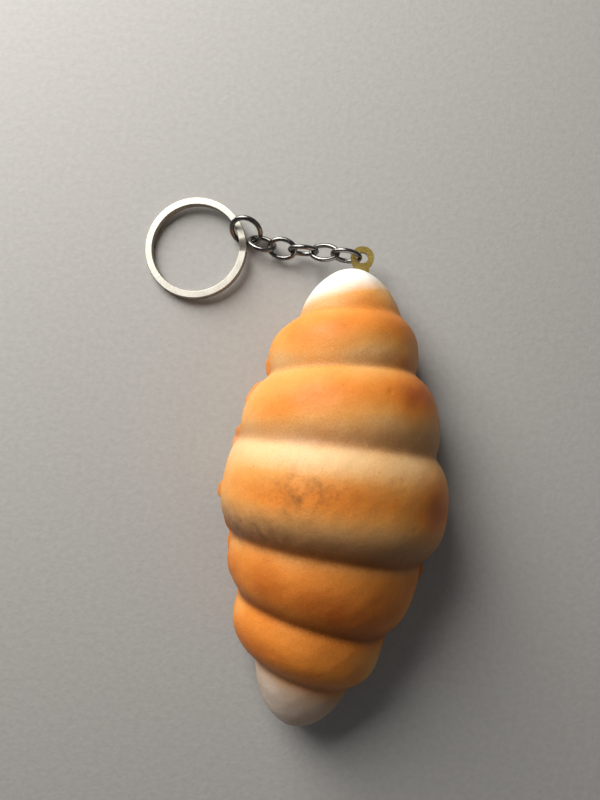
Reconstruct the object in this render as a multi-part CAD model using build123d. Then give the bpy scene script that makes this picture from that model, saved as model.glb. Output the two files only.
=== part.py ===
from build123d import *
import math
import os

# A squishy foam bread roll on a short chain with a split ring, lying on a table.
# Millimetres. The origin is the centre of the roll's flat underside, +Y runs along the roll
# towards the chain, +X to the right of that and +Z up.

# ---- foam roll: overall sizes ----
BODY_LENGTH = 103.0         # tip to tip, along Y
BODY_WIDTH = 50.5           # across the largest lobe
DOME_HEIGHT = 27.3          # top of the largest lobe above the parting plane
KEEL_DEPTH = 13.0           # how deep the lower half of that lobe would reach if it weren't cut flat
PARTING_HEIGHT = 6.5        # the mould's parting plane above the flat underside

# The lobes, from the chain end to the far end. Each is a spheroid whose size and place are
# shares of the half width and half length: centre across, centre along, half width, half
# length, and the turn of its long axis in degrees.
LOBES = [
    (-0.03, 0.728, 0.47, 0.270, 8),
    (-0.05, 0.583, 0.67, 0.227, 12),
    (-0.01, 0.272, 0.88, 0.315, 8),
    (0.00, -0.017, 1.00, 0.330, -2),
    (-0.03, -0.291, 0.83, 0.320, -13),
    (-0.10, -0.579, 0.67, 0.217, -15),
    (-0.09, -0.744, 0.43, 0.253, -5),
]

# ---- plastic anchor tab: eye, strap and buried head, one flat moulding ----
TAB_THICKNESS = 1.1
TAB_X = 0.6                 # the strap runs parallel to Y at this place across
EYE_DIAMETER = 5.5
STRAP_WIDTH = 3.8
EYE_CLEARANCE = 1.6         # the eye's hole is this much wider than the link's wire
EYE_PLAY = 0.25             # between the first link's middle and the rim, as its end curves
EYE_REACH = 2.9             # from the roll's tip to the centre of the eye hole
HEAD_DIAMETER = 11.0
HEAD_HOLE_DIAMETER = 4.0    # foam grows through it and locks the head in
HEAD_DEPTH = 19.0           # from the roll's tip to the centre of the head

# ---- chain links: ovals of round wire with a butt joint in one side ----
LINK_WIRE = 1.1
LINK_LENGTH = 7.6           # outside
LINK_WIDTH = 5.6            # outside
LINK_BEND = 1.25            # inside radius round the ends
LINK_JOINT_GAP = 0.1
CHAIN_CLEARANCE = 0.03      # between the wires of two pieces that hang in each other

# How each link lies, from the tab to the jump ring: the heading and the downward slope of
# its long axis, and the roll about that axis, in degrees.
LINK_POSES = [
    (176, 3, 77),
    (173, 16, -22),
    (180, 11, 88),
    (174, 9, 31),
    (162, 10, -36),
]

# ---- jump ring ----
JUMP_WIRE = 1.2
JUMP_ROOM = 3.15            # its hole is this much wider than the band and the wire it takes
JUMP_JOINT_GAP = 0.12
JUMP_CLEARANCE = 0.1        # between its wire and the last link's
JUMP_POSE = (127, -44, 36)  # heading and slope from the last link, and the roll, as above

# ---- split ring: flat wire in two turns, one over the other ----
RING_DIAMETER = 25.0        # outside
RING_BAND = 1.75            # radial width of the flat wire
RING_WIRE_HEIGHT = 0.9      # height of one turn
RING_TURN_GAP = 0.06        # between the two turns
RING_EDGE_ROUND = 0.18
RING_RAMP_ANGLE = 16.0      # the arc over which the wire climbs from one turn to the other
RING_RAMP_SECTIONS = 9
RING_END_GAP_ANGLE = 1.0    # between each cut end and the ramp
RING_HEADING = 203.0        # from the jump ring's centre to the split ring's, in degrees
RING_SIDE_PLAY = 0.375      # from the jump ring's centre to the band's near side, at least
RING_TILT = 3.6             # it leans on the jump ring's wire, in degrees, at least
RING_CLEARANCE = 0.02       # from the band to the jump ring's and the last link's wire
RING_SHIFT_STEP = 0.1       # steps in which the ring moves out and leans more until it clears
RING_TILT_STEP = 0.15
RING_STEPS = 11
RING_RAMP_TURN = -14.0      # where the ramp lies, from the side nearest the jump ring
TABLE_CLEARANCE = 0.02

HALF_LENGTH = BODY_LENGTH / 2
HALF_WIDTH = BODY_WIDTH / 2
EYE_HOLE_DIAMETER = LINK_WIRE + EYE_CLEARANCE
LINK_END_RADIUS = LINK_BEND + LINK_WIRE / 2
LINK_HALF_LENGTH = (LINK_LENGTH - LINK_WIRE) / 2
LINK_HALF_WIDTH = (LINK_WIDTH - LINK_WIRE) / 2
JUMP_RADIUS = (RING_BAND + LINK_WIRE + JUMP_ROOM + JUMP_WIRE) / 2
RING_MIDDLE_RADIUS = (RING_DIAMETER - RING_BAND) / 2
RING_HEIGHT = 2 * RING_WIRE_HEIGHT + RING_TURN_GAP
EYE_CENTRE = Vector(TAB_X, HALF_LENGTH + EYE_REACH, PARTING_HEIGHT)
WORLD = 4 * BODY_LENGTH     # larger than everything, for cutting halves
ARC_POINTS = 61             # along each middle line when two wires are fitted
FIT_ROUNDS = 5


# ---- foam roll ----
def lobe(across, along, half_width, half_length, turn):
    """One spheroid of the roll, centred on the parting plane at height 0."""
    radius = half_width * HALF_WIDTH
    length = half_length * HALF_LENGTH
    half_disc = Ellipse(radius, length) & Pos(radius, 0) * Rectangle(2 * radius, 4 * length)
    spheroid = revolve(half_disc, axis=Axis.Y, revolution_arc=360)
    return Pos(across * HALF_WIDTH, along * HALF_LENGTH, 0) * Rot(0, 0, turn) * spheroid


def foam_roll():
    """The lobed roll: a high dome over the parting plane and a shallow, flat-cut half below."""
    lobes = [lobe(*shares) for shares in LOBES]
    round_roll = lobes[0].fuse(*lobes[1:])
    above = Box(WORLD, WORLD, WORLD, align=(Align.CENTER, Align.CENTER, Align.MIN))
    below = Box(WORLD, WORLD, WORLD, align=(Align.CENTER, Align.CENTER, Align.MAX))
    dome = scale((round_roll & above).solid(), by=(1, 1, DOME_HEIGHT / HALF_WIDTH))
    keel = scale((round_roll & below).solid(), by=(1, 1, KEEL_DEPTH / HALF_WIDTH))
    return (Pos(0, 0, PARTING_HEIGHT) * (dome + keel)) & above


# ---- anchor tab ----
def anchor_tab():
    """Eye, strap and pierced head, cut from one flat sheet in the parting plane."""
    eye_y = EYE_CENTRE.Y
    head_y = HALF_LENGTH - HEAD_DEPTH
    strap_length = eye_y - head_y
    outline = (
        Pos(TAB_X, eye_y) * Circle(EYE_DIAMETER / 2)
        + Pos(TAB_X, eye_y - strap_length / 2) * Rectangle(STRAP_WIDTH, strap_length)
        + Pos(TAB_X, head_y) * Circle(HEAD_DIAMETER / 2)
        - Pos(TAB_X, eye_y) * Circle(EYE_HOLE_DIAMETER / 2)
        - Pos(TAB_X, head_y) * Circle(HEAD_HOLE_DIAMETER / 2)
    )
    return Pos(0, 0, PARTING_HEIGHT - TAB_THICKNESS / 2) * extrude(outline, TAB_THICKNESS)


# ---- where the chain lies ----
def directions(heading, slope, roll):
    """Unit vectors along and across a link that heads and slopes this way."""
    heading, slope, roll = math.radians(heading), math.radians(slope), math.radians(roll)
    along = Vector(
        math.cos(heading) * math.cos(slope),
        math.sin(heading) * math.cos(slope),
        -math.sin(slope),
    )
    level = Vector(math.sin(heading), -math.cos(heading), 0)
    across = level * math.cos(roll) + level.cross(along) * math.sin(roll)
    return along, across


def lying_plane(centre, along, across):
    """A plane whose X runs along a link and whose Y runs across it."""
    return Plane(origin=centre, x_dir=along, z_dir=along.cross(across))


def arc_points(plane, centre_x, radius, middle, span=180):
    """Points along an arc round a centre on the plane's X axis; middle and span in degrees."""
    points = []
    for number in range(ARC_POINTS):
        angle = math.radians(middle + span * (number / (ARC_POINTS - 1) - 0.5))
        x = centre_x + radius * math.cos(angle)
        points.append(plane.from_local_coords(Vector(x, radius * math.sin(angle), 0)))
    return points


def closest(points, others):
    """The least distance between two rows of points."""
    return min((point - other).length for point in points for other in others)


def far_arc(plane):
    """The middle line round a link's outer end."""
    return arc_points(plane, LINK_HALF_LENGTH - LINK_END_RADIUS, LINK_END_RADIUS, 0)


def hung(held_by, holder_arc, pose, reach, end_radius, wanted):
    """Where a piece lies that hangs in the end of a link, their middle lines this far apart."""
    along, across = directions(*pose)
    gap = wanted
    for _ in range(FIT_ROUNDS):
        plane = lying_plane(held_by + along * (reach - gap), along, across)
        gap += wanted - closest(holder_arc, arc_points(plane, end_radius - reach, end_radius, 180))
    return plane


def chain_layout():
    """The plane of each link and of the jump ring, and the point that each one hangs on."""
    heading = math.radians(LINK_POSES[0][0])
    level_heading = Vector(math.cos(heading), math.sin(heading), 0)
    rim_middle = (EYE_HOLE_DIAMETER + EYE_DIAMETER) / 4
    pivots = [EYE_CENTRE + level_heading * rim_middle]
    along, across = directions(*LINK_POSES[0])
    inner_end = EYE_CENTRE + level_heading * ((EYE_HOLE_DIAMETER - LINK_WIRE) / 2 - EYE_PLAY)
    planes = [lying_plane(inner_end + along * LINK_HALF_LENGTH, along, across)]
    link_sizes = (LINK_HALF_LENGTH, LINK_END_RADIUS, LINK_WIRE + CHAIN_CLEARANCE)
    jump_sizes = (JUMP_RADIUS, JUMP_RADIUS, (LINK_WIRE + JUMP_WIRE) / 2 + JUMP_CLEARANCE)
    sizes = [link_sizes] * (len(LINK_POSES) - 1) + [jump_sizes]
    for pose, size in zip(LINK_POSES[1:] + [JUMP_POSE], sizes):
        holder = planes[-1]
        held_by = holder.origin + holder.x_dir * LINK_HALF_LENGTH
        planes.append(hung(held_by, far_arc(holder), pose, *size))
        pivots.append(held_by)
    return planes, pivots


# ---- wire pieces ----
def chain_link():
    """An oval of round wire: two end arcs and two flatter side arcs, cut in one side."""
    end_x = LINK_HALF_LENGTH - LINK_END_RADIUS
    side_radius = (
        (end_x**2 + LINK_HALF_WIDTH**2 - LINK_END_RADIUS**2)
        / (2 * (LINK_HALF_WIDTH - LINK_END_RADIUS))
    )
    side_y = side_radius - LINK_HALF_WIDTH
    turn = math.degrees(math.atan2(side_y, end_x))
    half_gap = math.degrees(LINK_JOINT_GAP / 2 / side_radius)
    arcs = [
        CenterArc((0, side_y), side_radius, 270 + half_gap, 90 - turn - half_gap),
        CenterArc((end_x, 0), LINK_END_RADIUS, -turn, 2 * turn),
        CenterArc((0, -side_y), side_radius, turn, 180 - 2 * turn),
        CenterArc((-end_x, 0), LINK_END_RADIUS, 180 - turn, 2 * turn),
        CenterArc((0, side_y), side_radius, 180 + turn, 90 - turn - half_gap),
    ]
    path = Wire([arc.edge() for arc in arcs])
    section = Plane(origin=path @ 0, z_dir=path % 0) * Circle(LINK_WIRE / 2)
    return sweep(section, path=path)


def jump_ring():
    """A round ring of round wire, its cut facing across."""
    gap_angle = math.degrees(JUMP_JOINT_GAP / JUMP_RADIUS)
    section = Plane.XZ * Pos(JUMP_RADIUS, 0) * Circle(JUMP_WIRE / 2)
    return Rot(0, 0, 90 + gap_angle / 2) * revolve(
        section, axis=Axis.Z, revolution_arc=360 - gap_angle
    )


def ring_section(angle, height):
    """The flat wire's section at this angle round the split ring and this height."""
    radial = Vector(1, 0, 0).rotate(Axis.Z, angle)
    plane = Plane(origin=(0, 0, 0), x_dir=radial, z_dir=radial.cross(Vector(0, 0, 1)))
    return plane * Pos(RING_MIDDLE_RADIUS, height) * RectangleRounded(
        RING_BAND, RING_WIRE_HEIGHT, RING_EDGE_ROUND
    )


def split_ring():
    """Two turns of flat wire and the ramp between them, centred on the origin."""
    half_ramp = RING_RAMP_ANGLE / 2
    step_up = RING_WIRE_HEIGHT + RING_TURN_GAP
    turn_arc = 360 - RING_RAMP_ANGLE - RING_END_GAP_ANGLE
    lower_start = half_ramp + RING_END_GAP_ANGLE
    lower = revolve(ring_section(lower_start, -step_up / 2), Axis.Z, turn_arc)
    upper = revolve(ring_section(half_ramp, step_up / 2), Axis.Z, turn_arc)
    climb = []
    for number in range(RING_RAMP_SECTIONS):
        share = number / (RING_RAMP_SECTIONS - 1)
        eased = share * share * (3 - 2 * share)
        angle = half_ramp * (2 * share - 1)
        climb.append(ring_section(angle, step_up * (eased - 0.5)))
    return lower + loft(climb) + upper


def leaning_plane(jump_centre, shift, tilt):
    """The split ring's plane, leaning from the table towards the jump ring."""
    heading = math.radians(RING_HEADING)
    away = Vector(math.cos(heading), math.sin(heading), 0)
    tilt = math.radians(tilt)
    low_edge = RING_DIAMETER / 2 * math.sin(tilt) + RING_HEIGHT / 2 * math.cos(tilt)
    centre = jump_centre + away * (RING_MIDDLE_RADIUS + RING_BAND / 2 + shift)
    centre = Vector(centre.X, centre.Y, low_edge + TABLE_CLEARANCE)
    towards = away * -math.cos(tilt) + Vector(0, 0, math.sin(tilt))
    level = Vector(0, 0, 1).cross(towards)
    return Plane(origin=centre, x_dir=towards, z_dir=towards.cross(level))


def band_distance(points, plane):
    """The least distance from points to the section of a split ring in that plane."""
    distances = []
    for point in points:
        local = plane.to_local_coords(point)
        beside = abs(math.hypot(local.X, local.Y) - RING_MIDDLE_RADIUS) - RING_BAND / 2
        above = abs(local.Z) - RING_HEIGHT / 2
        distances.append(math.hypot(max(beside, 0), max(above, 0)))
    return min(distances)


def split_ring_plane(jump_plane, link_plane):
    """The least shift and lean at which the band clears the jump ring and the last link."""
    jump_line = arc_points(jump_plane, 0, JUMP_RADIUS, 0, 360)
    link_line = far_arc(link_plane)

    def clearance(plane):
        from_jump = band_distance(jump_line, plane) - JUMP_WIRE / 2
        from_link = band_distance(link_line, plane) - LINK_WIRE / 2
        return min(from_jump, from_link, RING_CLEARANCE)

    places = [
        leaning_plane(
            jump_plane.origin,
            RING_SIDE_PLAY + RING_SHIFT_STEP * shift,
            RING_TILT + RING_TILT_STEP * tilt,
        )
        for shift in range(RING_STEPS)
        for tilt in range(RING_STEPS)
    ]
    return max(places, key=clearance)


# ---- everything in place ----
planes, pivots = chain_layout()
tab = anchor_tab()
ring_plane = split_ring_plane(planes[-1], planes[-2])

nodes = {
    "foam_body": foam_roll() - tab,
    "anchor_tab": tab,
    "jump_ring": planes[-1] * jump_ring(),
    "split_ring": ring_plane * Rot(0, 0, RING_RAMP_TURN) * split_ring(),
}
link = chain_link()
for number, plane in enumerate(planes[:-1], start=1):
    nodes[f"chain_link_{number}"] = plane * link

os.makedirs("parts", exist_ok=True)
for name, shape in nodes.items():
    export_step(shape, f"parts/{name}.step")
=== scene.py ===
import math

import bmesh
import bpy
import numpy as np
from mathutils import Euler, Matrix, Vector


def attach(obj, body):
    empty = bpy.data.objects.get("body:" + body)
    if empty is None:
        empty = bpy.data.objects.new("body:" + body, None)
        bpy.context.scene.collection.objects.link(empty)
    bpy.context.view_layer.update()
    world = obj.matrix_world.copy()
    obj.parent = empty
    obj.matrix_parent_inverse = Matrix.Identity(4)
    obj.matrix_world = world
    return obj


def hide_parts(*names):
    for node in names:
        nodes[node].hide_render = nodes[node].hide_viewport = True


# A squishy foam bread roll on a chain with a split ring. The hardware and the plastic tab are
# the frame's own nodes with better materials; the foam roll is sculpted here as a smooth blend
# of lobes and painted by vertex attributes that the skin's material reads.

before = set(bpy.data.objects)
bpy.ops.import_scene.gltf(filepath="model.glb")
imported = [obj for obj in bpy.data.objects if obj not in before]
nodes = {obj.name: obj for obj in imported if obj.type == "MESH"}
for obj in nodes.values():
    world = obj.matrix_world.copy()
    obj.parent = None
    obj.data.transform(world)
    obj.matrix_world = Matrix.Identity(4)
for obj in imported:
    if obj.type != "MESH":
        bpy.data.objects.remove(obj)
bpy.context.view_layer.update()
scene = bpy.context.scene

MM = 0.001

# ---- the roll's lobes, millimetres, from the chain end to the far end ----
# centre across, centre along, half width, half length, turn in degrees, and the power of the
# outline from the lobe's middle to its ends (2 is an ellipse, more is boxier)
LOBES = [
    (-0.3, 37.5, 11.8, 13.9, 6, 1.8),
    (-1.2, 30.0, 17.0, 11.2, 12, 2.4),
    (-0.2, 14.0, 22.3, 15.6, 8, 2.4),
    (0.1, -0.9, 25.2, 15.9, -2, 2.7),
    (-0.7, -15.0, 21.0, 15.8, -13, 2.5),
    (-2.5, -29.8, 16.8, 10.7, -15, 2.4),
    (-2.3, -38.3, 10.8, 13.0, -5, 1.7),
]
PARTING_HEIGHT = 6.5        # the mould's parting plane above the table
DOME_STRETCH = 1.08         # height over width of the half above it
KEEL_STRETCH = 0.505        # and of the half below it
SOFT_GROOVE = 0.5           # rounding in the grooves at the chain end
SHARP_GROOVE = 0.3          # and at the far end
EDGE_ROUND = 0.9            # round the flat underside
GROOVE_BLEND = 15           # the grooves go from sharp to soft this far to both sides of Y 0
VOXEL = 0.55                # the mesh is about this fine
FIN_BAND = 1.3              # this far above and below the parting plane the mesh is finer
SMOOTHING_PASSES = 3        # each evens out the mesh and settles it on the surface again


# ---- the roll's shape as a field: below 0 inside, millimetres ----
def lobe_coordinates(points, lobe):
    """Across, along and height of points in one lobe's own frame, as shares of its sizes."""
    across, along, half_width, half_length, turn, _ = lobe
    c, s = math.cos(math.radians(turn)), math.sin(math.radians(turn))
    dx = points[:, 0] - across
    dy = points[:, 1] - along
    dz = points[:, 2] - PARTING_HEIGHT
    stretch = np.where(dz > 0, DOME_STRETCH, KEEL_STRETCH)
    u = (c * dx + s * dy) / half_width
    v = (c * dy - s * dx) / half_length
    return u, v, dz / (half_width * stretch)


def lobe_distances(points):
    """A rough distance to each lobe, one column a lobe."""
    columns = []
    for lobe in LOBES:
        u, v, w = lobe_coordinates(points, lobe)
        half_width, half_length, power = lobe[2], lobe[3], lobe[5]
        girth = np.sqrt(u * u + w * w)
        reach = (girth**power + np.abs(v) ** power) ** (1 / power)
        reach = np.maximum(reach, 0.001)
        ray = np.hypot(girth * half_width, v * half_length) / reach
        columns.append((reach - 1) * ray)
    return np.stack(columns, axis=1)


def blended(distances, softness):
    """The smooth least of each row."""
    least = distances.min(axis=1, keepdims=True)
    total = np.exp((least - distances) / softness[:, None]).sum(axis=1)
    return least[:, 0] - softness * np.log(total)


def roll_field(points):
    """The lobes blended together and cut off flat on the table."""
    share = np.clip((points[:, 1] + GROOVE_BLEND) / (2 * GROOVE_BLEND), 0, 1)
    softness = SHARP_GROOVE + (SOFT_GROOVE - SHARP_GROOVE) * share * share * (3 - 2 * share)
    body = blended(lobe_distances(points), softness)
    floor = -points[:, 2]
    both = np.stack([-body, -floor], axis=1)
    return -blended(both, np.full(len(points), EDGE_ROUND))


SLOPE_STEP = 0.02           # for reading the field's slope
LEAST_SLOPE = 0.05          # the square of the slope counts as at least this
LONGEST_MOVE = 2            # in one round of settling


def field_slope(points, value):
    """The field's gradient by small steps."""
    slope = np.empty_like(points)
    for axis in range(3):
        moved = points.copy()
        moved[:, axis] += SLOPE_STEP
        slope[:, axis] = (roll_field(moved) - value) / SLOPE_STEP
    return slope


def settle(points, rounds):
    """Moves points along the slope onto the surface."""
    for _ in range(rounds):
        value = roll_field(points)
        slope = field_slope(points, value)
        size = np.maximum((slope**2).sum(axis=1), LEAST_SLOPE)
        points = points - slope * (value / size)[:, None].clip(-LONGEST_MOVE, LONGEST_MOVE)
    return points


# ---- mesh helpers ----
def add_object(name, data):
    """A new object in the scene for a mesh, a light or a camera."""
    piece = bpy.data.objects.new(name, data)
    scene.collection.objects.link(piece)
    return piece


def get_points(mesh):
    """The mesh's points in millimetres, one row each."""
    values = np.empty(len(mesh.vertices) * 3)
    mesh.vertices.foreach_get("co", values)
    return values.reshape(-1, 3) / MM


def set_points(mesh, points):
    """Moves the mesh's points to these places in millimetres."""
    mesh.vertices.foreach_set("co", (points * MM).ravel())
    mesh.update()


def apply_modifiers(piece):
    """Replaces the piece's mesh with what its modifiers make of it."""
    graph = bpy.context.evaluated_depsgraph_get()
    fresh = bpy.data.meshes.new_from_object(piece.evaluated_get(graph))
    piece.modifiers.clear()
    old = piece.data
    piece.data = fresh
    bpy.data.meshes.remove(old)


def edge_array(mesh):
    """The numbers of the two points of each edge."""
    values = np.empty(len(mesh.edges) * 2, dtype=np.int64)
    mesh.edges.foreach_get("vertices", values)
    return values.reshape(-1, 2)


def relaxed(points, edges, amount, rounds):
    """Each point moves towards the middle of its neighbours."""
    count = np.bincount(edges.ravel(), minlength=len(points)).astype(float)
    for _ in range(rounds):
        total = np.zeros_like(points)
        for axis in range(3):
            total[:, axis] += np.bincount(edges[:, 0], points[edges[:, 1], axis], len(points))
            total[:, axis] += np.bincount(edges[:, 1], points[edges[:, 0], axis], len(points))
        points = points + amount * (total / count[:, None] - points)
    return points


WAVES_IN_OCTAVE = 9
WAVE_STRETCH = (0.7, 1.4)   # how much the waves' lengths vary
OCTAVE_STEP = 2.1           # each octave's features are this much smaller
OCTAVE_LEVEL = 3.2          # brings one octave's sum to about -1 to 1
WAVES_LEVEL = 1.6           # and the sum of the octaves


def waves(points, scale, seed, octaves=3):
    """Smooth seeded noise of about -1 to 1 with features of this size in millimetres."""
    source = np.random.default_rng(seed)
    total = np.zeros(len(points))
    weight = 1.0
    for _ in range(octaves):
        layer = np.zeros(len(points))
        for _ in range(WAVES_IN_OCTAVE):
            heading = source.normal(size=3)
            heading /= np.linalg.norm(heading)
            phase = source.uniform(0, 2 * math.pi)
            stretch = source.uniform(*WAVE_STRETCH)
            layer += np.sin(points @ heading * (2 * math.pi / scale * stretch) + phase)
        total += weight * layer / OCTAVE_LEVEL
        weight *= 0.5
        scale /= OCTAVE_STEP
    return total / WAVES_LEVEL


# ---- the foam roll ----
def rough_roll():
    """Overlapping lobes joined into one closed skin by a voxel remesh."""
    builder = bmesh.new()
    for across, along, half_width, half_length, turn, _ in LOBES:
        place = (
            Matrix.Translation(Vector((across, along, PARTING_HEIGHT)) * MM)
            @ Matrix.Rotation(math.radians(turn), 4, "Z")
            @ Matrix.Diagonal(Vector((half_width, half_length, half_width, 1 / MM)) * MM)
        )
        bmesh.ops.create_uvsphere(builder, u_segments=64, v_segments=40, radius=1, matrix=place)
    mesh = bpy.data.meshes.new("rough_roll")
    builder.to_mesh(mesh)
    builder.free()
    points = get_points(mesh)
    low = points[:, 2] < PARTING_HEIGHT
    points[low, 2] = PARTING_HEIGHT + (points[low, 2] - PARTING_HEIGHT) * KEEL_STRETCH
    points[:, 2] = np.maximum(points[:, 2], 0)
    set_points(mesh, points)
    piece = add_object("foam_roll", mesh)
    remesh = piece.modifiers.new("remesh", "REMESH")
    remesh.mode = "VOXEL"
    remesh.voxel_size = VOXEL * MM
    apply_modifiers(piece)
    return piece


def refine_parting_band(mesh):
    """Splits the faces near the parting plane, so that the thin mould fin has room."""
    builder = bmesh.new()
    builder.from_mesh(mesh)
    for band in (FIN_BAND, FIN_BAND / 2):
        near = [
            edge
            for edge in builder.edges
            if all(abs(v.co.z / MM - PARTING_HEIGHT) < band for v in edge.verts)
        ]
        bmesh.ops.subdivide_edges(builder, edges=near, cuts=1, use_grid_fill=True)
    bmesh.ops.triangulate(builder, faces=[f for f in builder.faces if len(f.verts) > 4])
    builder.to_mesh(mesh)
    builder.free()


# Where the mould's fin shows along the parting line: the place along Y, half the stretch it
# covers and how far it sticks out, millimetres, on the left and on the right side.
FIN_LEFT = [
    (26.0, 2.0, 0.8),
    (20.0, 2.6, 0.8),
    (9.8, 2.4, 1.1),
    (-2.6, 1.8, 0.9),
    (-11.8, 3.2, 0.7),
    (-20.0, 4.0, 0.5),
    (-34.5, 2.5, 0.4),
]
FIN_RIGHT = [
    (-15.0, 2.2, 1.1),
    (12.0, 2.4, 0.4),
    (-29.5, 2.4, 0.5),
]
FIN_THICKNESS = 0.42        # half its height at its root
FIN_BASE = 0.16             # how far the seam stands out everywhere
SEAM_WAVE, SEAM_SWING, SEAM_SEED = 9.0, 0.6, 31         # how the seam varies along the roll
RAGGED_WAVE, RAGGED_SWING, RAGGED_SEED = 3.2, 0.14, 40  # and the torn patches' outer edges


def fin_reach(points):
    """How far the mould's fin sticks out at each point's place round the roll."""
    reach = FIN_BASE * (1 + SEAM_SWING * waves(points, SEAM_WAVE, SEAM_SEED))
    for side, patches in ((-1, FIN_LEFT), (1, FIN_RIGHT)):
        here = points[:, 0] * side > 0
        for number, (along, half, out) in enumerate(patches):
            bump = np.exp(-(((points[:, 1] - along) / half) ** 4))
            edge_wave = waves(points, RAGGED_WAVE, RAGGED_SEED + number, octaves=2)
            ragged = 1 + RAGGED_SWING * edge_wave
            reach = reach + here * out * bump * ragged
    return reach


def surface_normals(points):
    """Unit vectors out of the skin, read from the field's slope."""
    slope = field_slope(points, roll_field(points))
    return slope / np.linalg.norm(slope, axis=1, keepdims=True)


# Small moulding faults on the skin: place across, place along, radius and depth, millimetres.
PITS = [
    (8.3, 21.3, 0.34, 0.32),
    (7.6, 22.6, 0.22, 0.15),
    (-0.5, 19.5, 0.3, 0.2),
    (-7.5, 12.0, 0.25, 0.2),
    (12.0, 4.0, 0.3, 0.2),
    (-14.0, 17.5, 0.3, 0.2),
    (0.5, -18.0, 0.5, 0.15),
    (-9.0, -32.5, 0.3, 0.2),
    (15.5, -5.0, 0.3, 0.2),
]

SWELL_WAVE, SWELL_DEPTH, SWELL_SEED = 19.0, 0.14, 3     # the skin's slow unevenness
DIMPLE_WAVE, DIMPLE_DEPTH, DIMPLE_SEED = 5.0, 0.025, 5  # and the finer one
SMOOTH_FOOT = 1.5           # the unevenness starts at this height above the table
FOOT_BLEND = 3              # and is full this much higher
PITS_ABOVE = 3              # the pits lie at least this far above the parting plane


def detailed(points):
    """Adds soft unevenness, pits and the mould's fin to the settled skin."""
    normals = surface_normals(points)
    above = np.clip((points[:, 2] - SMOOTH_FOOT) / FOOT_BLEND, 0, 1)
    swell = SWELL_DEPTH * waves(points, SWELL_WAVE, SWELL_SEED)
    dimple = DIMPLE_DEPTH * waves(points, DIMPLE_WAVE, DIMPLE_SEED)
    push = above * (swell + dimple)
    crown = points[:, 2] > PARTING_HEIGHT + PITS_ABOVE
    for across, along, radius, depth in PITS:
        gap = np.hypot(points[:, 0] - across, points[:, 1] - along)
        push = push - crown * depth * np.exp(-((gap / radius) ** 2))
    points = points + normals * push[:, None]
    level = normals * np.array([1, 1, 0])
    level /= np.maximum(np.linalg.norm(level, axis=1, keepdims=True), 1e-6)
    height = np.abs(points[:, 2] - PARTING_HEIGHT) / FIN_THICKNESS
    ridge = np.clip(1 - height**2, 0, 1) ** 1.5
    # 0 on a level skin and 1 on an upright one, where the fin has its full reach
    side = np.clip(1.6 * np.linalg.norm(normals[:, :2], axis=1) - 0.6, 0, 1)
    return points + level * (ridge * side * fin_reach(points))[:, None]


# ---- airbrush paint and painted shade ----
# How orange each lobe is all over, then soft spots that add orange or take it away. Each spot:
# lobe number, place across and along as shares of the lobe's half sizes, its two soft radii as
# the same shares, and its strength.
ORANGE_BASE = [0.0, 0.60, 0.28, 0.16, 1.0, 1.0, 0.08]
ORANGE_SPOTS = [
    (0, 0.25, 0.02, 0.75, 0.42, 0.85),
    (1, -0.15, 0.40, 0.80, 0.32, 0.45),
    (1, 0.75, 0.40, 0.25, 0.35, 0.45),
    (2, -0.05, 0.40, 0.55, 0.26, 0.85),
    (2, 0.72, 0.38, 0.28, 0.32, 1.15),
    (2, -0.55, 0.22, 0.28, 0.22, 0.45),
    (3, -0.45, -0.04, 0.55, 0.26, 0.75),
    (3, 0.25, 0.06, 0.45, 0.26, 0.72),
    (3, 0.82, 0.02, 0.22, 0.45, 1.10),
    # The spots low on lobes 4 and 5 deepen the orange on their lower flanks, which makes them darker.
    (4, -0.30, -0.45, 0.80, 0.22, 0.40),
    (4, 0.45, -0.35, 0.55, 0.40, 0.25),
    (5, -0.45, -0.50, 0.60, 0.28, 0.40),
    (6, 0.25, 0.20, 0.70, 0.40, 0.60),
]
CREAM_SPOTS = [
    (1, 0.10, -0.22, 0.70, 0.30, 0.50),
    (1, -0.80, -0.15, 0.22, 0.35, 0.50),
    (4, -0.92, 0.10, 0.14, 0.40, 0.55),
    (4, 0.96, -0.30, 0.10, 0.40, 0.45),
    (5, 0.92, -0.10, 0.14, 0.50, 0.75),
    (5, -0.95, 0.00, 0.10, 0.50, 0.45),
]
LOBE_BLEND = 1.1            # the lobes' paints run into each other over this distance

# How much painted shade, a dark brown, lies in each groove, from the chain end to the far end; it
# reaches furthest onto the upper lobe's lower edge, where the shade falls.
GROOVE_SHADE = [0.30, 0.35, 0.38, 0.75, 0.80, 0.45]
UPPER_SHADE_WIDTH = 2.9     # on the side nearer the chain
LOWER_SHADE_WIDTH = 0.9     # and on the other side
GROOVE_DEPTH = 6            # no painted shade where the upper lobe of a crease lies deeper than this

# Lobe numbers, from the chain end.
TOP, UPPER, MIDDLE, BOTTOM = 0, 2, 3, 6

# The white on both tips: where it starts along the lobe, how much it climbs across, and the
# stretch over which it fades, as shares of the lobe's half sizes.
TOP_WHITE_START, TOP_WHITE_CLIMB, TOP_WHITE_FADE = 0.38, 0.20, 0.30
BOTTOM_WHITE_START, BOTTOM_WHITE_CLIMB, BOTTOM_WHITE_FADE = 0.15, 0.5, 0.7
BOTTOM_WHITE = 0.40         # it is thinner there, and kept low also as painted shade on the far tip

# The middle lobe's pale band: where it starts along the lobe, the stretch over which it grows,
# and its weight at the lobe's middle, which falls towards +X.
PALE_START, PALE_FADE, PALE_MIDDLE = 0.22, 0.3, 0.92

# The tan tone, partly a real brownish airbrush and partly painted shade on the lower slopes that face
# away from the light and on the far tip: amount, where it starts along the lobe and the stretch over
# which it grows.
MIDDLE_TAN_AND_SHADE, MIDDLE_TAN_AND_SHADE_START, MIDDLE_TAN_AND_SHADE_FADE = 0.9, -0.15, 0.35
UPPER_TAN_AND_SHADE, UPPER_TAN_AND_SHADE_START, UPPER_TAN_AND_SHADE_FADE = 0.65, 0.12, 0.3
BOTTOM_TAN_AND_SHADE = 0.85

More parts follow.
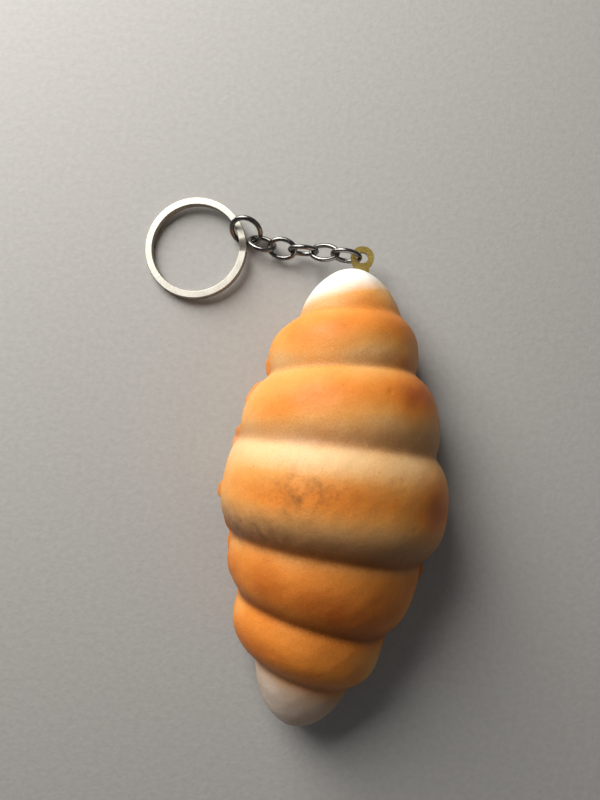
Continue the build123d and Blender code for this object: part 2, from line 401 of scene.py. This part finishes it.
# Dark smudges, partly grime and partly painted shade on the left of the middle lobe, darkest at its
# lower left: centre across and along, half width, half length (mm) and strength.
GRIME_AND_SHADE_SPOTS = [
    (-6.5, -0.5, 7.5, 4.5, 0.8),
    (-17, -9.5, 12, 3.5, 0.85),
]

# The orange thins out on the underside, from below the parting plane.
UNDER_START, UNDER_FADE, UNDER_LOSS = 1, 5, 0.5
FIN_PAINT_HEIGHT = 0.55     # half the height of the darker line along the seam
MOST_ORANGE = 1.6


def paint(points):
    """The amount of each paint, tone and painted shade at each point, by the name of its attribute."""
    distances = lobe_distances(points)
    least = distances.min(axis=1)
    share = np.exp((least[:, None] - distances) / LOBE_BLEND)
    share /= share.sum(axis=1, keepdims=True)
    local = [lobe_coordinates(points, lobe) for lobe in LOBES]
    orange = share @ np.array(ORANGE_BASE)
    for spots, sign in ((ORANGE_SPOTS, 1), (CREAM_SPOTS, -1)):
        for number, across, along, wide, long, strength in spots:
            u, v, _ = local[number]
            spot = np.exp(-(((u - across) / wide) ** 2) - ((v - along) / long) ** 2)
            orange = orange + sign * strength * spot * share[:, number]
    # Painted shade in the grooves, widest on the upper lobe's lower edge.
    groove_shade = np.zeros(len(points))
    for number, amount in enumerate(GROOVE_SHADE):
        gap = distances[:, number] - distances[:, number + 1]
        width = np.where(gap < 0, UPPER_SHADE_WIDTH, LOWER_SHADE_WIDTH)
        near = least > distances[:, number] - GROOVE_DEPTH
        groove_shade = groove_shade + near * amount * np.exp(-((gap / width) ** 2))
    top_u, top_v, _ = local[TOP]
    top_start = TOP_WHITE_START + TOP_WHITE_CLIMB * top_u
    top_white = share[:, TOP] * np.clip((top_v - top_start) / TOP_WHITE_FADE, 0, 1)
    bottom_u, bottom_v, _ = local[BOTTOM]
    bottom_start = BOTTOM_WHITE_START - BOTTOM_WHITE_CLIMB * bottom_u
    bottom_white = share[:, BOTTOM] * np.clip((bottom_start - bottom_v) / BOTTOM_WHITE_FADE, 0, 1)
    white = np.maximum(top_white, bottom_white * BOTTOM_WHITE)
    middle_u, middle_v, _ = local[MIDDLE]
    pale = share[:, MIDDLE] * np.clip((middle_v - PALE_START) / PALE_FADE, 0, 1)
    pale = pale * np.clip(PALE_MIDDLE - middle_u, 0, 1)
    # Dark smudges, partly grime and partly painted shade.
    grime_and_shade = np.zeros(len(points))
    for across, along, half_width, half_length, strength in GRIME_AND_SHADE_SPOTS:
        gap = np.hypot((points[:, 0] - across) / half_width, (points[:, 1] - along) / half_length)
        grime_and_shade = grime_and_shade + strength * np.exp(-(gap**2))
    # The tan, partly painted shade, grows towards the lower ends of lobes 2 and 3 and covers the far
    # tip.
    upper_v = local[UPPER][1]
    middle_tan_and_shade = np.clip((MIDDLE_TAN_AND_SHADE_START - middle_v) / MIDDLE_TAN_AND_SHADE_FADE, 0, 1)
    upper_tan_and_shade = np.clip((UPPER_TAN_AND_SHADE_START - upper_v) / UPPER_TAN_AND_SHADE_FADE, 0, 1)
    tan_and_shade = MIDDLE_TAN_AND_SHADE * share[:, MIDDLE] * middle_tan_and_shade
    tan_and_shade = tan_and_shade + UPPER_TAN_AND_SHADE * share[:, UPPER] * upper_tan_and_shade
    tan_and_shade = tan_and_shade + BOTTOM_TAN_AND_SHADE * share[:, BOTTOM]
    under = np.clip((PARTING_HEIGHT - UNDER_START - points[:, 2]) / UNDER_FADE, 0, 1)
    orange = orange * (1 - UNDER_LOSS * under)
    return {
        "orange": np.clip(orange, 0, MOST_ORANGE),
        "groove_shade": np.clip(groove_shade, 0, 1),
        "white": np.clip(white, 0, 1),
        "pale": np.clip(pale, 0, 1),
        "grime_and_shade": np.clip(grime_and_shade, 0, 1),
        "tan_and_shade": np.clip(tan_and_shade, 0, 1),
        "fin": np.exp(-(((points[:, 2] - PARTING_HEIGHT) / FIN_PAINT_HEIGHT) ** 2)),
    }


def foam_roll():
    """The sculpted roll with its paint amounts as attributes of its points."""
    piece = rough_roll()
    mesh = piece.data
    edges = edge_array(mesh)
    points = settle(get_points(mesh), rounds=3)
    for _ in range(SMOOTHING_PASSES):
        points = relaxed(points, edges, amount=0.5, rounds=3)
        points = settle(points, rounds=2)
    set_points(mesh, points)
    refine_parting_band(mesh)
    points = settle(get_points(mesh), rounds=2)
    amounts = paint(points)
    set_points(mesh, detailed(points))
    for name, values in amounts.items():
        layer = mesh.attributes.new(name, "FLOAT", "POINT")
        layer.data.foreach_set("value", values.astype(np.float32))
    mesh.polygons.foreach_set("use_smooth", np.ones(len(mesh.polygons), dtype=bool))
    mesh.update()
    return piece


# ---- materials ----
NOISE_LOW, NOISE_HIGH = 0.3, 0.7    # where nearly all of a noise texture's values lie


class Nodes:
    """A short way to write a node tree."""

    def __init__(self, name):
        self.material = bpy.data.materials.new(name)
        self.material.use_nodes = True
        self.tree = self.material.node_tree
        self.shader = self.tree.nodes["Principled BSDF"]

    def add(self, kind, inputs=None, **settings):
        """A new node with these inputs, each a value or another node's output."""
        node = self.tree.nodes.new(kind)
        for key, value in settings.items():
            setattr(node, key, value)
        for key, value in (inputs or {}).items():
            self.put(value, node.inputs[key])
        return node

    def put(self, value, socket):
        if isinstance(value, bpy.types.NodeSocket):
            self.tree.links.new(value, socket)
        else:
            socket.default_value = value

    def place(self, scale):
        """Object coordinates in millimetres, divided by a feature size."""
        coordinates = self.add("ShaderNodeTexCoord").outputs["Object"]
        factor = 1000.0 / scale
        return self.add(
            "ShaderNodeMapping", {"Vector": coordinates, "Scale": (factor, factor, factor)}
        ).outputs["Vector"]

    def noise(self, size, detail, roughness=0.5):
        return self.add(
            "ShaderNodeTexNoise",
            {"Vector": self.place(size), "Scale": 1.0, "Detail": detail, "Roughness": roughness},
        ).outputs["Fac"]

    def mottle(self, size, detail, low=0.0, high=1.0, roughness=0.5):
        """Noise with features of this size in millimetres, spread from low to high."""
        return self.spread(self.noise(size, detail, roughness), NOISE_LOW, NOISE_HIGH, low, high)

    def attribute(self, name):
        return self.add("ShaderNodeAttribute", attribute_name=name).outputs["Fac"]

    def math(self, operation, a, b=0.0, clamp=False):
        node = self.add("ShaderNodeMath", {0: a, 1: b}, operation=operation, use_clamp=clamp)
        return node.outputs["Value"]

    def spread(self, value, low, high, out_low=0.0, out_high=1.0):
        """The value's stretch from low to high, clamped and spread over the new one."""
        return self.add(
            "ShaderNodeMapRange",
            {"Value": value, "From Min": low, "From Max": high, "To Min": out_low, "To Max": out_high},
        ).outputs["Result"]

    def ramp(self, value, stops):
        """Colours along a value; each stop is a position and a colour."""
        node = self.add("ShaderNodeValToRGB", {"Fac": value})
        points = node.color_ramp.elements
        points[0].position, points[1].position = stops[0][0], stops[-1][0]
        points[0].color, points[1].color = (*stops[0][1], 1.0), (*stops[-1][1], 1.0)
        for position, colour in stops[1:-1]:
            points.new(position).color = (*colour, 1.0)
        return node.outputs["Color"]

    def mix(self, factor, a, b):
        node = self.add("ShaderNodeMix", data_type="RGBA")
        self.put(factor, node.inputs["Factor"])
        self.put(a if isinstance(a, bpy.types.NodeSocket) else (*a, 1.0), node.inputs["A"])
        self.put(b if isinstance(b, bpy.types.NodeSocket) else (*b, 1.0), node.inputs["B"])
        return node.outputs["Result"]

    def bump(self, height, distance):
        """Fine relief on the shader; the distance is in millimetres."""
        node = self.add("ShaderNodeBump", {"Height": height, "Distance": distance * MM})
        self.put(node.outputs["Normal"], self.shader.inputs["Normal"])

    def finish(self, **inputs):
        """Sets the shader's inputs, named with _ for a space, and gives the material."""
        for key, value in inputs.items():
            self.put(value, self.shader.inputs[key.replace("_", " ")])
        return self.material


# The foam skin's paints; the tan and the dark brown of the grooves and smudges also serve as painted
# shade.
CREAM = (0.80, 0.48, 0.20)
PALE_CREAM = (0.90, 0.66, 0.37)
LIGHT_ORANGE = (0.82, 0.36, 0.085)
ORANGE = (0.76, 0.245, 0.032)
DEEP_ORANGE = (0.50, 0.115, 0.012)
TAN_AND_SHADE = (0.40, 0.205, 0.085)
GROOVE_SHADE_BROWN = (0.28, 0.075, 0.010)
WHITE = (0.93, 0.90, 0.85)
GRIME_AND_SHADE = (0.13, 0.055, 0.018)
PAINT_DRIFT = 0.16          # how much the orange varies slowly
SPRAY_GRAIN = 0.07          # and as the airbrush's fine grain
GROOVE_GRAIN = 1.5          # the grain is this much stronger in the grooves
PALE_STRENGTH = 0.75
FIN_STRENGTH = 0.55
GRIME_AND_SHADE_RANGE = (0.42, 0.75)  # the part of its noise over which the smudges and painted shade go from none to full
SPECK_SPACING = 3.2         # millimetres between the small dark specks
SPECK_EDGE = (0.05, 0.025)  # a speck's outer and inner edge, as shares of the spacing
SPECK_STRENGTH = 0.55
SPECK_DEPTH = 0.6
PORE_SHARE = 0.5
SKIN_BUMP = 0.09            # millimetres


def foam_skin():
    """Satin foam skin: airbrushed orange over cream, white tips, painted shade in the grooves and on
    the low slopes, fine pores and specks.
    """
    n = Nodes("foam_skin_paint")
    drift = n.mottle(9.0, 4.0, -PAINT_DRIFT, PAINT_DRIFT)
    spray = n.mottle(0.42, 2.0, -SPRAY_GRAIN, SPRAY_GRAIN, roughness=0.7)
    amount = n.math("ADD", n.attribute("orange"), n.math("ADD", drift, spray))
    colour = n.ramp(
        n.math("DIVIDE", amount, MOST_ORANGE, clamp=True),
        [(0.0, CREAM), (0.28, LIGHT_ORANGE), (0.62, ORANGE), (1.0, DEEP_ORANGE)],
    )
    colour = n.mix(n.math("MULTIPLY", n.attribute("pale"), PALE_STRENGTH), colour, PALE_CREAM)
    # The tan tone: partly a real brownish airbrush, partly painted shade on the lower slopes and the
    # far tip.
    colour = n.mix(n.attribute("tan_and_shade"), colour, TAN_AND_SHADE)
    # The white drifts only where it fades, so that the full white and the bare skin stay clean.
    edge = n.math("MULTIPLY", n.attribute("white"), n.math("SUBTRACT", 1.0, n.attribute("white")))
    white = n.math("MULTIPLY", n.math("MULTIPLY", edge, drift), 4.0)
    white = n.math("ADD", n.attribute("white"), white, clamp=True)
    colour = n.mix(white, colour, WHITE)
    # Painted shade in the grooves, a dark brown roughened by the spray's grain.
    grain = n.math("MULTIPLY", spray, GROOVE_GRAIN)
    groove_shade = n.math("ADD", n.attribute("groove_shade"), grain, clamp=True)
    colour = n.mix(groove_shade, colour, GROOVE_SHADE_BROWN)
    # Dark smudges, partly grime and partly painted shade on the left of the middle lobe; the same dark
    # colour marks the real specks.
    grime_and_shade_noise = n.spread(n.noise(2.6, 5.0, 0.65), *GRIME_AND_SHADE_RANGE)
    grime_and_shade = n.math("MULTIPLY", n.attribute("grime_and_shade"), grime_and_shade_noise, clamp=True)
    colour = n.mix(grime_and_shade, colour, GRIME_AND_SHADE)
    speck_gap = n.add(
        "ShaderNodeTexVoronoi", {"Vector": n.place(SPECK_SPACING), "Scale": 1.0, "Randomness": 1.0}
    ).outputs["Distance"]
    specks = n.spread(speck_gap, *SPECK_EDGE)
    colour = n.mix(n.math("MULTIPLY", specks, SPECK_STRENGTH), colour, GRIME_AND_SHADE)
    colour = n.mix(n.math("MULTIPLY", n.attribute("fin"), FIN_STRENGTH), colour, DEEP_ORANGE)
    roughness = n.mottle(1.3, 3.0, 0.46, 0.6)
    pores = n.math("MULTIPLY", n.noise(0.5, 3.0, 0.6), PORE_SHARE)
    height = n.math("ADD", pores, n.noise(2.2, 3.0))
    n.bump(n.math("SUBTRACT", height, n.math("MULTIPLY", specks, SPECK_DEPTH)), SKIN_BUMP)
    return n.finish(
        Base_Color=colour,
        Roughness=roughness,
        Specular_IOR_Level=0.28,
        Subsurface_Weight=0.12,
        Subsurface_Radius=(1.0, 0.45, 0.2),
        Subsurface_Scale=0.002,
    )


def dark_nickel():
    """Polished black nickel wire, a little uneven and dull in spots."""
    n = Nodes("dark_nickel_wire")
    tone = n.mottle(1.8, 4.0)
    colour = n.mix(tone, (0.15, 0.142, 0.135), (0.24, 0.23, 0.22))
    roughness = n.mottle(0.9, 4.0, 0.16, 0.30)
    n.bump(n.noise(0.35, 3.0), 0.012)
    return n.finish(Base_Color=colour, Metallic=1.0, Roughness=roughness)


def ring_nickel():
    """Bright nickel with a satin, slightly uneven sheen."""
    n = Nodes("ring_nickel_band")
    tone = n.mottle(2.5, 4.0)
    colour = n.mix(tone, (0.40, 0.377, 0.33), (0.48, 0.452, 0.40))
    roughness = n.mottle(0.7, 5.0, 0.44, 0.58, roughness=0.7)
    n.bump(n.noise(0.28, 4.0, 0.7), 0.012)
    return n.finish(Base_Color=colour, Metallic=1.0, Roughness=roughness)


def tab_plastic():
    """Yellow translucent soft plastic, a little cloudy."""
    n = Nodes("tab_plastic_yellow")
    cloud = n.mottle(2.0, 4.0)
    colour = n.mix(cloud, (0.36, 0.26, 0.055), (0.52, 0.39, 0.10))
    roughness = n.mottle(0.8, 3.0, 0.22, 0.38)
    n.bump(n.noise(0.9, 3.0), 0.03)
    return n.finish(
        Base_Color=colour,
        Roughness=roughness,
        Transmission_Weight=0.55,
        IOR=1.45,
        Subsurface_Weight=0.2,
        Subsurface_Radius=(1.0, 0.8, 0.2),
        Subsurface_Scale=0.001,
    )


def floor_paper():
    """Plain pale table top."""
    n = Nodes("floor_paper")
    tone = n.mottle(1.4, 4.0)
    colour = n.mix(tone, (0.40, 0.388, 0.366), (0.44, 0.427, 0.405))
    n.bump(n.noise(0.9, 3.0), 0.05)
    return n.finish(Base_Color=colour, Roughness=0.85)


def dress(piece, material):
    """Gives a piece this material alone."""
    piece.data.materials.clear()
    piece.data.materials.append(material)


# ---- the pieces ----
roll = foam_roll()
dress(roll, foam_skin())
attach(roll, "bread_roll")
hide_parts("foam_body")

wire_material = dark_nickel()
for name in nodes:
    if name.startswith("chain_link") or name == "jump_ring":
        dress(nodes[name], wire_material)
dress(nodes["split_ring"], ring_nickel())
dress(nodes["anchor_tab"], tab_plastic())

# ---- floor, light and camera ----
FLOOR_SIZE = 2.0            # metres, from the middle to a side
builder = bmesh.new()
bmesh.ops.create_grid(builder, x_segments=1, y_segments=1, size=FLOOR_SIZE)
floor_mesh = bpy.data.meshes.new("floor")
builder.to_mesh(floor_mesh)
builder.free()
floor = add_object("floor", floor_mesh)
dress(floor, floor_paper())


def soft_light(name, place, size, power, colour):
    """An area light that faces the origin, under the middle of the roll; metres and watts."""
    lamp = bpy.data.lights.new(name, "AREA")
    lamp.shape = "RECTANGLE"
    lamp.size, lamp.size_y = size
    lamp.energy = power
    lamp.color = colour
    light = add_object(name, lamp)
    light.location = place
    light.rotation_euler = (-Vector(place)).to_track_quat("-Z", "Y").to_euler()


WINDOW_COLOUR = (1.0, 0.985, 0.955)
ROOM_COLOUR = (1.0, 0.94, 0.88)
SKY_COLOUR = (0.80, 0.84, 0.90)
SKY_STRENGTH = 0.09
soft_light("window", (-0.225, 0.265, 0.225), (0.26, 0.36), 2.75, WINDOW_COLOUR)
soft_light("room", (0.30, -0.10, 0.60), (0.60, 0.60), 0.16, ROOM_COLOUR)
world = bpy.data.worlds.new("room")
scene.world = world
world.use_nodes = True
sky = world.node_tree.nodes["Background"]
sky.inputs["Color"].default_value = (*SKY_COLOUR, 1.0)
sky.inputs["Strength"].default_value = SKY_STRENGTH
scene.view_settings.view_transform = "Standard"

# The camera looks down from above the roll, its top edge turned a little to the left of +Y.
CAMERA_PLACE = Vector((-6.09, 5.69, 148.74)) * MM
CAMERA_TURN = (5.7, 0.905, 6.744)   # degrees about X, Y and Z, from looking straight down
SENSOR = 36.0
FOCAL_LENGTH = 28.0
lens = bpy.data.cameras.new("camera")
lens.sensor_fit = "VERTICAL"
lens.sensor_height = SENSOR
lens.sensor_width = SENSOR
lens.lens = FOCAL_LENGTH
lens.clip_start = 0.01
lens.clip_end = 10.0
camera = add_object("camera", lens)
turn = Euler([math.radians(angle) for angle in CAMERA_TURN])
camera.matrix_world = Matrix.LocRotScale(CAMERA_PLACE, turn, None)
scene.camera = camera
